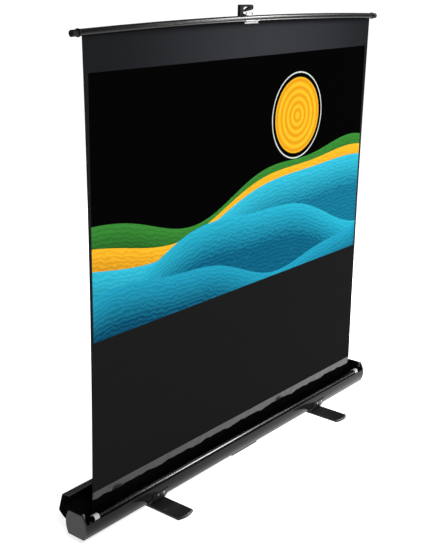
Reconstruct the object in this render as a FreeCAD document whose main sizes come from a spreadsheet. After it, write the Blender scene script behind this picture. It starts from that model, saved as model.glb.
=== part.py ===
import FreeCAD, Part
import math
import os

from FreeCAD import Placement, Rotation, Vector

# Pull-up projection screen, in millimetres.
# X runs along the case, -Y is the viewing side, +Z is up, the floor is z = 0 under the middle of the case.

SIZES = {
    # case
    "case_length": 1980.0,
    "case_height": 100.0,
    "case_clearance": 30.0,
    "bulge_width": 108.0,
    "top_width": 74.0,
    "bottom_width": 82.0,
    "case_wall": 2.0,
    "cap_thickness": 6.0,
    "cap_corner_radius": 4.0,
    "cap_edge_radius": 1.6,
    "spigot_depth": 8.0,
    "front_height": 64.0,
    "bead_radius": 11.0,
    "bead_wall": 2.0,
    "bead_setback": 2.1,
    "bead_rise": 5.0,
    "sleeve_radius": 13.0,
    "sleeve_length": 24.0,
    # lid and its hinge
    "lid_open_angle": 74.0,
    "lid_lip_height": 68.0,
    "lid_hem_radius": 2.5,
    "hinge_rod_radius": 2.5,
    "knuckle_radius": 5.0,
    "knuckle_count": 9.0,
    "knuckle_gap": 0.5,
    # cloth and roller
    "fabric_width": 1821.0,
    "fabric_waist": 11.0,
    "fabric_thickness": 0.8,
    "fabric_plane": -8.0,
    "roller_radius": 15.0,
    "roller_wall": 1.2,
    "roll_build": 2.4,
    "roller_height": 72.0,
    "gudgeon_radius": 5.0,
    "spring_shaft_radius": 6.0,
    "spring_shaft_length": 430.0,
    "bracket_thickness": 4.0,
    # top bar
    "bar_length": 1850.0,
    "bar_end_height": 1866.0,
    "bar_radius": 12.0,
    "bar_wall": 1.6,
    "bar_bow": 16.0,
    "bar_slot": 3.0,
    "fabric_hem": 3.0,
    "bar_end_reach": 33.0,
    "bar_end_ring_step": 2.5,
    "bar_end_ring_width": 5.0,
    "clip_length": 88.0,
    "clip_wall": 1.6,
    "clip_tongue": 7.0,
    "loop_width": 44.0,
    "loop_rise": 12.0,
    # mast
    "mast_offset": -28.0,
    "mast_plane": 21.0,
    "mast_pivot_height": 112.0,
    "outer_tube_radius": 11.0,
    "middle_tube_radius": 9.0,
    "inner_tube_radius": 7.0,
    "mast_tube_wall": 1.1,
    "section_reach": 570.0,
    "section_overlap": 100.0,
    "collar_wall": 3.0,
    "collar_height": 44.0,
    "hook_width": 85.0,
    "hook_rise": 40.0,
    "hook_thickness": 14.0,
    "fold_pin_radius": 4.0,
    # feet
    "foot_spread": 1150.0,
    "foot_length": 390.0,
    "foot_width": 90.0,
    "foot_thickness": 10.0,
    "foot_end_bow": 10.0,
    "foot_end_bevel": 5.0,
    "foot_side_bevel": 1.5,
    "pad_thickness": 3.0,
    "washer_thickness": 1.7,
    "foot_pivot_radius": 5.0,
    "saddle_wall": 3.0,
    "saddle_ear_rise": 34.0,
    # carrying handle
    "handle_span": 196.0,
    "handle_reach": 24.0,
    "handle_thickness": 7.0,
    "handle_pin_radius": 2.0,
    # fits
    "running_gap": 0.05,
    "body_gap": 0.3,
}

doc = FreeCAD.newDocument("pull_up_screen")
sheet = doc.addObject("Spreadsheet::Sheet", "sizes")
for row, (alias, value) in enumerate(SIZES.items(), start=1):
    sheet.set("A%d" % row, alias)
    sheet.set("B%d" % row, str(value))
    sheet.setAlias("B%d" % row, alias)
doc.recompute()


def size(alias):
    return float(sheet.get(alias))


CELL = "sizes."
X_AXIS = Vector(1, 0, 0)
Y_AXIS = Vector(0, 1, 0)
Z_AXIS = Vector(0, 0, 1)
SUB_PARTS = []

# Places worked out from the sizes

HALF_CASE = size("case_length") / 2
HALF_TROUGH = HALF_CASE - size("cap_thickness")
CASE_BOTTOM = size("case_clearance")
CASE_TOP = CASE_BOTTOM + size("case_height")
CASE_MIDDLE = CASE_BOTTOM + size("case_height") / 2
CASE_FLOOR = CASE_BOTTOM + size("case_wall")
HINGE = Vector(0, size("bulge_width") / 2 - size("case_wall") / 2, CASE_MIDDLE)
FABRIC_FRONT = size("fabric_plane") - size("fabric_thickness") / 2
ROLL_RADIUS = size("roller_radius") + size("roll_build")
ROLLER_Y = FABRIC_FRONT - size("body_gap") - ROLL_RADIUS
ROLLER_Z = size("roller_height")
HALF_FABRIC = size("fabric_width") / 2
HALF_ROLLER = HALF_FABRIC + 5
BRACKET_X = HALF_ROLLER + 15
HALF_BAR = size("bar_length") / 2
BAR_CENTRE_Z = size("bar_end_height") + size("bar_bow")
BOW_RADIUS = (HALF_BAR ** 2 + size("bar_bow") ** 2) / (2 * size("bar_bow"))
CLIP_INNER = size("bar_radius") + size("body_gap")
CLIP_OUTER = CLIP_INNER + size("clip_wall")
MAST = Vector(size("mast_offset"), size("mast_plane"), 0)
PIVOT_Z = size("mast_pivot_height")
OUTER_BASE_Z = PIVOT_Z + 23
OUTER_TOP_Z = OUTER_BASE_Z + size("section_reach") + 35
MIDDLE_BASE_Z = OUTER_TOP_Z - size("section_overlap")
MIDDLE_TOP_Z = OUTER_TOP_Z + size("section_reach")
INNER_BASE_Z = MIDDLE_TOP_Z - size("section_overlap")
HOOK_TOP_Z = BAR_CENTRE_Z + size("bar_radius") + size("hook_rise")
HEAD_BASE_Z = BAR_CENTRE_Z - 50
INNER_TOP_Z = BAR_CENTRE_Z - 18
FOOT_X = size("foot_spread") / 2
FOOT_TOP = size("pad_thickness") + size("foot_thickness")
SADDLE_BOTTOM = FOOT_TOP + size("washer_thickness") + size("body_gap")
HANDLE_PIVOT = Vector(0, -size("bottom_width") / 2 + 26, CASE_BOTTOM - 5.5)


# Drawing helpers

def line(start, end):
    return Part.LineSegment(Vector(start[0], start[1], 0), Vector(end[0], end[1], 0))


def arc(start, through, end):
    return Part.Arc(*[Vector(p[0], p[1], 0) for p in (start, through, end)])


def origin_feature(body, role):
    """One of the body's own origin planes or axes."""
    return [f for f in body.Origin.OriginFeatures if getattr(f, "Role", "") == role][0]


def sketch_on(body, role, geometry, name):
    sketch = body.newObject("Sketcher::SketchObject", name)
    sketch.AttachmentSupport = [(origin_feature(body, role), "")]
    sketch.MapMode = "FlatFace"
    sketch.addGeometry(geometry, False)
    return sketch


def new_body(label):
    body = doc.addObject("PartDesign::Body", label + "_body")
    body.Label = label
    return body


def padded(label, role, geometry, length, placement=Placement(), symmetric=True):
    """A body padded from one sketch; length is an expression on the sheet."""
    body = new_body(label)
    sketch = sketch_on(body, role, geometry, label + "_outline")
    pad = body.newObject("PartDesign::Pad", label + "_pad")
    pad.Profile = sketch
    if symmetric:
        pad.SideType = "Symmetric"
    pad.setExpression("Length", length)
    body.Placement = placement
    doc.recompute()
    return body


def revolved(label, profile, placement):
    """A body turned about its own X axis from an outline of (x, radius) points."""
    body = new_body(label)
    sketch = sketch_on(body, "XY_Plane", profile, label + "_outline")
    turn = body.newObject("PartDesign::Revolution", label + "_turn")
    turn.Profile = sketch
    turn.ReferenceAxis = (origin_feature(body, "X_Axis"), [""])
    turn.Angle = 360
    body.Placement = placement
    doc.recompute()
    return body


def box(label, corner, length, width, height):
    """A box from its lowest corner; the three sizes are expressions or numbers."""
    item = doc.addObject("Part::Box", label)
    for prop, value in (("Length", length), ("Width", width), ("Height", height)):
        set_size(item, prop, value)
    item.Placement.Base = Vector(*corner)
    return item


def cylinder(label, base, direction, radius, height):
    item = doc.addObject("Part::Cylinder", label)
    set_size(item, "Radius", radius)
    set_size(item, "Height", height)
    item.Placement = Placement(Vector(*base), Rotation(Z_AXIS, direction))
    return item


def set_size(item, prop, value):
    if isinstance(value, str):
        item.setExpression(prop, value)
    else:
        setattr(item, prop, value)


def tube(label, base, direction, outer, inner, height):
    """A round tube; outer and inner are radii."""
    wall = cylinder(label + "_outside", base, direction, outer, height)
    bore = cylinder(label + "_bore", base, direction, inner, height)
    return cut(label, wall, bore)


def cut(label, base, *tools):
    tool = tools[0] if len(tools) == 1 else fuse(label + "_tools", *tools)
    item = doc.addObject("Part::Cut", label)
    item.Base = base
    item.Tool = tool
    return item


def fuse(label, *pieces):
    item = doc.addObject("Part::MultiFuse", label)
    item.Shapes = list(pieces)
    item.Refine = True
    return item


def group(label, *pieces):
    """Separate solids that share one node."""
    item = doc.addObject("Part::Compound", label)
    item.Links = list(pieces)
    return item


def edges_along_x(shape):
    """Names of the straight edges that run along X."""
    names = []
    for number, edge in enumerate(shape.Edges, start=1):
        ends = [vertex.Point for vertex in edge.Vertexes]
        if len(ends) == 2 and abs((ends[1] - ends[0]).normalize().x) > 0.999:
            names.append("Edge%d" % number)
    return names


def top_edges(shape, curved):
    """Names of the edges at the top of a shape that are curved, or else of the straight ones."""
    names = []
    for number, edge in enumerate(shape.Edges, start=1):
        level = min(vertex.Z for vertex in edge.Vertexes) > shape.BoundBox.ZMax - 0.001
        if level and (edge.Curve.TypeId == "Part::GeomCircle") == curved:
            names.append("Edge%d" % number)
    return names


def outermost_face(shape, direction):
    """Name of the face that lies furthest in a direction."""
    reach = [face.CenterOfMass.dot(direction) for face in shape.Faces]
    return "Face%d" % (reach.index(max(reach)) + 1)


def keep(item, label):
    item.Label = label
    SUB_PARTS.append(item)


# Barrel-shaped section of the case

class BarrelSide:
    """One bulging side of the case, as a circle through its lower corner, widest point and upper corner."""

    def __init__(self, inset):
        low = Vector(size("bottom_width") / 2 - inset, CASE_BOTTOM + inset, 0)
        wide = Vector(size("bulge_width") / 2 - inset, CASE_MIDDLE, 0)
        high = Vector(size("top_width") / 2 - inset, CASE_TOP - inset, 0)
        circle = Part.Circle(low, wide, high)
        self.low = low
        self.high = high
        self.centre = circle.Center
        self.radius = circle.Radius

    def y_at(self, z):
        return self.centre.x + math.sqrt(self.radius ** 2 - (z - self.centre.y) ** 2)

    def stretch(self, z_from, z_to, side):
        """Arc from one height to another, on the back (+1) or the front (-1)."""
        heights = (z_from, (z_from + z_to) / 2, z_to)
        return arc(*[(side * self.y_at(z), z) for z in heights])

    def point(self, z, side):
        return (side * self.y_at(z), z)


SKIN = BarrelSide(0.0)
LINING = BarrelSide(size("case_wall"))
FRONT_TOP = CASE_BOTTOM + size("front_height")
BEAD_Y = -LINING.y_at(FRONT_TOP) + size("bead_setback") + size("bead_radius")
BEAD_REACH = size("bead_radius") + ROLL_RADIUS + 1
BEAD_OVER_ROLL = math.sqrt(max(0.0, BEAD_REACH ** 2 - (BEAD_Y - ROLLER_Y) ** 2))
BEAD_Z = max(FRONT_TOP + size("bead_rise"), ROLLER_Z + BEAD_OVER_ROLL)
HALF_BEAD = HALF_FABRIC + 2 + size("sleeve_length") + 2


def barrel(side, z_top_flat, z_bottom_flat):
    """Closed barrel outline between two flats."""
    back = side.stretch(z_bottom_flat, z_top_flat, 1)
    front = side.stretch(z_top_flat, z_bottom_flat, -1)
    top = line(side.point(z_top_flat, 1), side.point(z_top_flat, -1))
    bottom = line(side.point(z_bottom_flat, -1), side.point(z_bottom_flat, 1))
    return [back, top, front, bottom]


# Case

def knuckle_spans(first):
    """X spans of every second hinge knuckle, starting with the given one."""
    count = int(size("knuckle_count"))
    pitch = 2 * HALF_TROUGH / count
    gap = size("knuckle_gap")
    for index in range(first, count, 2):
        start = -HALF_TROUGH + index * pitch
        yield start + gap, pitch - 2 * gap


def make_trough():
    rear_top = CASE_MIDDLE - size("knuckle_radius") - size("knuckle_gap")
    low = CASE_BOTTOM
    floor = CASE_FLOOR
    profile = [
        line(LINING.point(rear_top, 1), SKIN.point(rear_top, 1)),
        SKIN.stretch(rear_top, low, 1),
        line(SKIN.point(low, 1), SKIN.point(low, -1)),
        SKIN.stretch(low, FRONT_TOP, -1),
        line(SKIN.point(FRONT_TOP, -1), LINING.point(FRONT_TOP, -1)),
        LINING.stretch(FRONT_TOP, floor, -1),
        line(LINING.point(floor, -1), LINING.point(floor, 1)),
        LINING.stretch(floor, rear_top, 1),
    ]
    trough_length = CELL + "case_length - 2 * sizes.cap_thickness"
    shell = padded("trough_shell", "YZ_Plane", profile, trough_length)
    bead = cylinder("front_bead", (-HALF_BEAD, BEAD_Y, BEAD_Z), X_AXIS, CELL + "bead_radius", 2 * HALF_BEAD)
    ledge_front = -SKIN.y_at(FRONT_TOP) + size("case_wall") / 2
    ledge = box("front_ledge", (-HALF_BEAD, ledge_front, FRONT_TOP - size("case_wall")), 2 * HALF_BEAD,
                BEAD_Y - ledge_front, CELL + "case_wall")
    bead_bore = cylinder("front_bead_bore", (-HALF_BEAD, BEAD_Y, BEAD_Z), X_AXIS,
                         CELL + "bead_radius - sizes.bead_wall", 2 * HALF_BEAD)
    pieces = [shell, bead, ledge]
    for index, (start, length) in enumerate(knuckle_spans(0)):
        barrel_part = cylinder("trough_knuckle_%d" % index, (start, HINGE.y, HINGE.z), X_AXIS,
                               CELL + "knuckle_radius", length)
        web_y = LINING.y_at(rear_top)
        web = box("trough_web_%d" % index, (start, web_y, rear_top - 1), length,
                  CELL + "case_wall", HINGE.z - rear_top)
        pieces += [barrel_part, web]
    rod_bore = cylinder("trough_rod_bore", (-HALF_TROUGH, HINGE.y, HINGE.z), X_AXIS,
                        CELL + "hinge_rod_radius", trough_length)
    pivot_holes = [
        cylinder("pivot_hole_%d" % index, (side * FOOT_X, 0, CASE_BOTTOM - 1), Z_AXIS,
                 CELL + "foot_pivot_radius", CELL + "case_wall + 2")
        for index, side in enumerate((-1, 1))
    ]
    screw_holes = [
        cylinder("cap_screw_hole_%d" % index, (x, y, CASE_BOTTOM - 1), Z_AXIS, CAP_SCREW_RADIUS,
                 CELL + "case_wall + 2")
        for index, (x, y) in enumerate(cap_screw_places())
    ]
    trough = cut("trough", fuse("trough_solid", *pieces), rod_bore, bead_bore, *pivot_holes, *screw_holes)
    keep(trough, "case_trough")


CAP_SCREW_RADIUS = 2.0
CAP_SCREW_HEAD = 4.0
CAP_SCREW_HEAD_HEIGHT = 1.6
CAP_SCREW_SPACING = 44.0


def cap_screw_places():
    for side in (-1, 1):
        for y in (-CAP_SCREW_SPACING / 2, CAP_SCREW_SPACING / 2):
            yield side * (HALF_TROUGH - size("spigot_depth") / 2), y


def make_end_cap(name, side):
    plate = new_body(name + "_plate")
    sketch = sketch_on(plate, "YZ_Plane", barrel(SKIN, CASE_TOP, CASE_BOTTOM), name + "_outline")
    pad = plate.newObject("PartDesign::Pad", name + "_pad")
    pad.Profile = sketch
    pad.setExpression("Length", CELL + "cap_thickness")
    doc.recompute()
    corners = plate.newObject("PartDesign::Fillet", name + "_corners")
    corners.Base = (pad, edges_along_x(pad.Shape))
    corners.setExpression("Radius", CELL + "cap_corner_radius")
    doc.recompute()
    rim = plate.newObject("PartDesign::Fillet", name + "_rim")
    rim.Base = (corners, [outermost_face(corners.Shape, X_AXIS)])
    rim.setExpression("Radius", CELL + "cap_edge_radius")
    doc.recompute()
    spigot_top = CASE_BOTTOM + 0.35 * size("case_height")
    clear = size("body_gap") / 3
    inner = BarrelSide(size("case_wall") + clear)
    inward = Placement(Vector(-size("spigot_depth"), 0, 0), Rotation())
    spigot = padded(name + "_spigot", "YZ_Plane", barrel(inner, spigot_top, CASE_FLOOR),
                    CELL + "spigot_depth", inward, symmetric=False)
    solid = fuse(name + "_solid", plate, spigot)
    if side < 0:
        flip = Rotation(Z_AXIS, 180)
        solid.Placement = Placement(Vector(-HALF_TROUGH, 0, 0), flip)
    else:
        solid.Placement = Placement(Vector(HALF_TROUGH, 0, 0), Rotation())
    holes = [
        cylinder("%s_hole_%d" % (name, index), (x, y, CASE_BOTTOM - 1), Z_AXIS, CAP_SCREW_RADIUS, 16)
        for index, (x, y) in enumerate(cap_screw_places()) if x * side > 0
    ]
    keep(cut(name, solid, *holes), name)


def make_cap_screws():
    screws = []
    for index, (x, y) in enumerate(cap_screw_places()):
        shank = cylinder("cap_screw_shank_%d" % index, (x, y, CASE_BOTTOM), Z_AXIS, CAP_SCREW_RADIUS, 12)
        head = cylinder("cap_screw_head_%d" % index, (x, y, CASE_BOTTOM - CAP_SCREW_HEAD_HEIGHT), Z_AXIS,
                        CAP_SCREW_HEAD, CAP_SCREW_HEAD_HEIGHT)
        screws.append(fuse("cap_screw_%d" % index, shank, head))
    keep(group("cap_screws", *screws), "end_cap_screws")


def make_nylon_sleeve(name, side):
    """White sleeve over the end of the front bead, slit where the ledge meets the bead."""
    length = size("sleeve_length")
    start = side * (HALF_FABRIC + 2 + length / 2) - length / 2
    ring = tube(name + "_ring", (start, BEAD_Y, BEAD_Z), X_AXIS, CELL + "sleeve_radius",
                CELL + "bead_radius + 2 * sizes.running_gap", CELL + "sleeve_length")
    radius = size("sleeve_radius")
    slit = box(name + "_slit", (start - 1, BEAD_Y - radius - 1, FRONT_TOP - size("case_wall") - 0.3), length + 2,
               radius + 1.3, CELL + "case_wall + 0.6")
    keep(cut(name, ring, slit), name)


CATCH_SIZE = 9.0
CATCH_HEIGHT = 26.0


def make_lid_catch(name, side):
    """Spring post inside the front corner of the end cap."""
    x = side * (HALF_TROUGH - CATCH_SIZE / 2) - CATCH_SIZE / 2
    y = -size("top_width") / 2 + 2
    z = CASE_TOP - CATCH_HEIGHT + 3
    post = box(name + "_post", (x, y, z), CATCH_SIZE, CATCH_SIZE, CATCH_HEIGHT - CATCH_SIZE / 2)
    nose = cylinder(name + "_nose", (x, y + CATCH_SIZE / 2, z + CATCH_HEIGHT - CATCH_SIZE / 2), X_AXIS,
                    CATCH_SIZE / 2, CATCH_SIZE)
    keep(fuse(name, post, nose), name)


# Lid

def make_lid():
    """Drawn closed over the trough, then swung open about the hinge rod."""
    start = CASE_MIDDLE + size("knuckle_radius") + size("knuckle_gap")
    lip = CASE_BOTTOM + size("lid_lip_height")
    roof = CASE_TOP
    ceiling = CASE_TOP - size("case_wall")
    profile = [
        line(LINING.point(start, 1), SKIN.point(start, 1)),
        SKIN.stretch(start, roof, 1),
        line(SKIN.point(roof, 1), SKIN.point(roof, -1)),
        SKIN.stretch(roof, lip, -1),
        line(SKIN.point(lip, -1), LINING.point(lip, -1)),
        LINING.stretch(lip, ceiling, -1),
        line(LINING.point(ceiling, -1), LINING.point(ceiling, 1)),
        LINING.stretch(ceiling, start, 1),
    ]
    lid_length = CELL + "case_length - 2 * sizes.cap_thickness - 2 * sizes.body_gap"
    lid_end = size("body_gap") - HALF_TROUGH
    shell = padded("lid_shell", "YZ_Plane", profile, lid_length)
    hem_y = -SKIN.y_at(lip) + size("case_wall") / 2
    hem = cylinder("lid_hem", (lid_end, hem_y, lip), X_AXIS, CELL + "lid_hem_radius", lid_length)
    pieces = [shell, hem]
    bores = []
    for index, (x, length) in enumerate(knuckle_spans(1)):
        pieces.append(cylinder("lid_knuckle_%d" % index, (x, HINGE.y, HINGE.z), X_AXIS,
                               CELL + "knuckle_radius", length))
        pieces.append(box("lid_web_%d" % index, (x, LINING.y_at(start), HINGE.z + 2), length,
                          CELL + "case_wall", start - HINGE.z))
        bores.append(cylinder("lid_bore_%d" % index, (x - 1, HINGE.y, HINGE.z), X_AXIS,
                              CELL + "hinge_rod_radius + sizes.running_gap", length + 2))
    lid = cut("lid_solid", fuse("lid_pieces", *pieces), *bores)
    lid.Placement = Placement(Vector(), Rotation(X_AXIS, -size("lid_open_angle")), HINGE)
    keep(lid, "lid")


def make_hinge_rod():
    rod = cylinder("hinge_rod", (-HALF_TROUGH, HINGE.y, HINGE.z), X_AXIS, CELL + "hinge_rod_radius",
                   CELL + "case_length - 2 * sizes.cap_thickness")
    keep(rod, "lid_hinge_rod")


# Roller and spring

PLUG_LENGTH = 25.0


def make_roller():
    length = 2 * HALF_ROLLER
    base = (-HALF_ROLLER, ROLLER_Y, ROLLER_Z)
    keep(tube("roller_wall", base, X_AXIS, CELL + "roller_radius",
              CELL + "roller_radius - sizes.roller_wall", length), "roller_tube")
    keep(tube("roll", (-HALF_FABRIC, ROLLER_Y, ROLLER_Z), X_AXIS, CELL + "roller_radius + sizes.roll_build",
              CELL + "roller_radius", CELL + "fabric_width"), "fabric_roll")
    plug_radius = CELL + "roller_radius - sizes.roller_wall"
    left = cylinder("left_plug_core", base, X_AXIS, plug_radius, PLUG_LENGTH)
    gudgeon = cylinder("left_gudgeon", (-BRACKET_X - size("bracket_thickness"), ROLLER_Y, ROLLER_Z), X_AXIS,
                       CELL + "gudgeon_radius", BRACKET_X + size("bracket_thickness") - HALF_ROLLER + 5)
    keep(fuse("left_plug", left, gudgeon), "roller_plug_left")
    right = tube("right_plug", (HALF_ROLLER - PLUG_LENGTH, ROLLER_Y, ROLLER_Z), X_AXIS, plug_radius,
                 CELL + "spring_shaft_radius + sizes.running_gap", PLUG_LENGTH)
    keep(right, "roller_plug_right")


def make_spring():
    shaft_end = BRACKET_X + size("bracket_thickness")
    shaft_start = shaft_end - size("spring_shaft_length")
    keep(cylinder("shaft", (shaft_start, ROLLER_Y, ROLLER_Z), X_AXIS, CELL + "spring_shaft_radius",
                  CELL + "spring_shaft_length"), "spring_shaft")
    anchor_length = 10.0
    anchor_radius = CELL + "roller_radius - sizes.roller_wall - 1"
    keep(tube("anchor", (shaft_start, ROLLER_Y, ROLLER_Z), X_AXIS, anchor_radius,
              CELL + "spring_shaft_radius", anchor_length), "spring_anchor")
    spring_start = shaft_start + anchor_length
    spring_end = HALF_ROLLER - PLUG_LENGTH - 2
    spring_radius = CELL + "roller_radius - sizes.roller_wall - 2.5"
    keep(tube("spring", (spring_start, ROLLER_Y, ROLLER_Z), X_AXIS, spring_radius,
              CELL + "spring_shaft_radius + 1.5", spring_end - spring_start), "torsion_spring")


def make_roller_bracket(name, side, bore):
    """Upright plate with a foot, standing on the floor of the trough."""
    thickness = size("bracket_thickness")
    x = side * (BRACKET_X + thickness / 2) - thickness / 2
    foot_length = 24.0
    foot_width = 36.0
    room_in_front = LINING.low.x + ROLLER_Y - 0.5
    half_width = min(10.0, room_in_front)
    head_radius = 0.7 * ROLL_RADIUS
    plate = box(name + "_plate", (x, ROLLER_Y - half_width, CASE_FLOOR), CELL + "bracket_thickness",
                2 * half_width, ROLLER_Z - CASE_FLOOR)
    head = cylinder(name + "_head", (x, ROLLER_Y, ROLLER_Z), X_AXIS, head_radius, CELL + "bracket_thickness")
    foot_x = x if side > 0 else x + thickness - foot_length
    foot = box(name + "_foot", (foot_x, ROLLER_Y - half_width, CASE_FLOOR), foot_length, foot_width,
               CELL + "bracket_thickness")
    hole = cylinder(name + "_bore", (x - 1, ROLLER_Y, ROLLER_Z), X_AXIS, bore, CELL + "bracket_thickness + 2")
    keep(cut(name, fuse(name + "_solid", plate, head, foot), hole), name)


# Cloth

def make_fabric():
    """Flat sheet with drawn-in sides and a top edge that follows the bowed bar."""
    bottom = ROLLER_Z
    half = HALF_FABRIC
    waist = half - size("fabric_waist")
    drop = BOW_RADIUS - math.sqrt(BOW_RADIUS ** 2 - half ** 2)
    crown = BAR_CENTRE_Z - size("bar_radius") + size("fabric_hem")
    top_corner = crown - drop
    middle = (bottom + top_corner) / 2
    profile = [
        line((-half, bottom), (half, bottom)),
        arc((half, bottom), (waist, middle), (half, top_corner)),
        arc((half, top_corner), (0, crown), (-half, top_corner)),
        arc((-half, top_corner), (-waist, middle), (-half, bottom)),
    ]
    sheet_place = Placement(Vector(0, size("fabric_plane"), 0), Rotation())
    keep(padded("fabric", "XZ_Plane", profile, CELL + "fabric_thickness", sheet_place), "screen_fabric")


# Top bar

def make_top_bar():
    """Slotted tube, bent to the bow of the loaded bar."""
    body = new_body("bar")
    radius = size("bar_radius")
    bore = radius - size("bar_wall")
    half_slot = size("bar_slot") / 2
    slot_outer = math.sqrt(radius ** 2 - half_slot ** 2)
    slot_inner = math.sqrt(bore ** 2 - half_slot ** 2)
    y0 = size("fabric_plane")
    z0 = BAR_CENTRE_Z
    profile = [
        arc((y0 + half_slot, z0 - slot_outer), (y0, z0 + radius), (y0 - half_slot, z0 - slot_outer)),
        line((y0 - half_slot, z0 - slot_outer), (y0 - half_slot, z0 - slot_inner)),
        arc((y0 - half_slot, z0 - slot_inner), (y0, z0 + bore), (y0 + half_slot, z0 - slot_inner)),
        line((y0 + half_slot, z0 - slot_inner), (y0 + half_slot, z0 - slot_outer)),
    ]
    section = sketch_on(body, "YZ_Plane", profile, "bar_section")
    doc.recompute()
    turn = body.newObject("PartDesign::Revolution", "bar_bend")
    turn.Profile = section
    axis = body.newObject("PartDesign::Line", "bend_line")
    axis.Placement = Placement(Vector(0, 0, z0 - BOW_RADIUS), Rotation(Z_AXIS, Y_AXIS))
    turn.ReferenceAxis = (axis, [""])
    turn.Angle = 2 * math.degrees(math.asin(HALF_BAR / BOW_RADIUS))
    turn.Midplane = True
    doc.recompute()
    keep(body, "top_bar")


def make_bar_end(name, side):
    """Ringed end plug with a spigot in the bar, turned about the bar's own end tangent."""
    spigot = size("bar_radius") - size("bar_wall") - 0.2
    spigot_length = HALF_BAR - HALF_FABRIC - 2.5
    reach = size("bar_end_reach")
    ring = size("bar_radius") + size("bar_end_ring_step")
    ring_width = size("bar_end_ring_width")
    plug = size("bar_radius") - 0.5
    edge = 1.0
    bend = edge * (1 - math.sqrt(0.5))
    dish = 0.6 * plug
    dish_depth = 1.5
    profile = [
        line((-spigot_length, 0), (-spigot_length, spigot - edge)),
        line((-spigot_length, spigot - edge), (edge - spigot_length, spigot)),
        line((edge - spigot_length, spigot), (0, spigot)),
        line((0, spigot), (0, ring - edge)),
        arc((0, ring - edge), (bend, ring - bend), (edge, ring)),
        line((edge, ring), (ring_width - edge, ring)),
        arc((ring_width - edge, ring), (ring_width - bend, ring - bend), (ring_width, ring - edge)),
        line((ring_width, ring - edge), (ring_width, plug)),
        line((ring_width, plug), (reach - edge, plug)),
        arc((reach - edge, plug), (reach - bend, plug - bend), (reach, plug - edge)),
        line((reach, plug - edge), (reach, dish)),
        line((reach, dish), (reach - dish_depth, dish - dish_depth)),
        line((reach - dish_depth, dish - dish_depth), (reach - dish_depth, 0)),
        line((reach - dish_depth, 0), (-spigot_length, 0)),
    ]
    tilt = math.degrees(math.asin(HALF_BAR / BOW_RADIUS))
    turn = Rotation(Y_AXIS, tilt)
    if side < 0:
        turn = Rotation(Z_AXIS, 180).multiply(Rotation(Y_AXIS, tilt))
    place = Placement(Vector(side * HALF_BAR, size("fabric_plane"), size("bar_end_height")), turn)
    keep(revolved(name, profile, place), name)


CLIP_SCREW_RADIUS = 1.5
CLIP_SCREW_SPREAD = 30.0
CLIP_SCREW_HEAD = 2.8
CLIP_SCREW_HEAD_HEIGHT = 1.4
CLIP_SCREW_TURN = 48.0
LOOP_THICKNESS = 3.0
LOOP_SCREW_DROP = 2.0
LOOP_Y = size("fabric_plane") + CLIP_OUTER - size("clip_wall") / 2


def round_bar(radius, degrees):
    """Point round the bar's middle; 0 is straight down and 90 straight to the front."""
    turn = math.radians(degrees)
    return (size("fabric_plane") - radius * math.sin(turn), BAR_CENTRE_Z - radius * math.cos(turn))


def bar_shell(first, last):
    """Outline of a strip of clip wall between two turns round the bar."""
    middle = (first + last) / 2
    return [
        arc(round_bar(CLIP_OUTER, first), round_bar(CLIP_OUTER, middle), round_bar(CLIP_OUTER, last)),
        line(round_bar(CLIP_OUTER, last), round_bar(CLIP_INNER, last)),
        arc(round_bar(CLIP_INNER, last), round_bar(CLIP_INNER, middle), round_bar(CLIP_INNER, first)),
        line(round_bar(CLIP_INNER, first), round_bar(CLIP_OUTER, first)),
    ]


def make_handle_clip():
    """Silver pull strip under the front of the bar, with a tongue that hangs before the cloth."""
    top, bend = 72.0, 24.0
    wall = size("clip_wall")
    shell = padded("clip_shell", "YZ_Plane", bar_shell(top, bend), CELL + "clip_length")
    tongue_y = round_bar(CLIP_OUTER, bend)[0]
    tongue_top = round_bar(CLIP_INNER + 0.4 * wall, bend)[1]
    foot = BAR_CENTRE_Z - size("bar_radius") - size("clip_tongue")
    tongue = box("clip_tongue_plate", (-size("clip_length") / 2, tongue_y, foot), CELL + "clip_length",
                 CELL + "clip_wall", tongue_top - foot)
    turn = math.radians(CLIP_SCREW_TURN)
    outward = Vector(0, -math.sin(turn), -math.cos(turn))
    holes = []
    screws = []
    for index, x in enumerate((-CLIP_SCREW_SPREAD, CLIP_SCREW_SPREAD)):
        tip = (x,) + round_bar(CLIP_INNER - size("body_gap") / 2, CLIP_SCREW_TURN)
        seat = (x,) + round_bar(CLIP_OUTER, CLIP_SCREW_TURN)
        holes.append(cylinder("clip_hole_%d" % index, tip, outward, CLIP_SCREW_RADIUS, 5))
        shank = cylinder("clip_shank_%d" % index, tip, outward, CLIP_SCREW_RADIUS,
                         CLIP_OUTER - CLIP_INNER + size("body_gap") / 2)
        head = cylinder("clip_head_%d" % index, seat, outward, CLIP_SCREW_HEAD, CLIP_SCREW_HEAD_HEIGHT)
        screws.append(fuse("clip_screw_%d" % index, shank, head))
    keep(cut("clip_solid", fuse("clip_plates", shell, tongue), *holes), "handle_clip")
    keep(group("clip_screw_set", *screws, *make_loop_screws()), "clip_screws")


def loop_screw_places():
    start = -size("loop_width") / 4
    for x in (start + 6, start + size("loop_width") - 6):
        yield x, BAR_CENTRE_Z - LOOP_SCREW_DROP


def make_loop_screws():
    """Two screws through the hook plate, up to the back of the bar."""
    tip = size("fabric_plane") + size("bar_radius")
    back = LOOP_Y + LOOP_THICKNESS
    screws = []
    for index, (x, z) in enumerate(loop_screw_places()):
        shank = cylinder("loop_shank_%d" % index, (x, tip, z), Y_AXIS, CLIP_SCREW_RADIUS, back - tip)
        head = cylinder("loop_head_%d" % index, (x, back, z), Y_AXIS, CLIP_SCREW_HEAD, CLIP_SCREW_HEAD_HEIGHT)
        screws.append(fuse("loop_screw_%d" % index, shank, head))
    return screws


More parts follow.
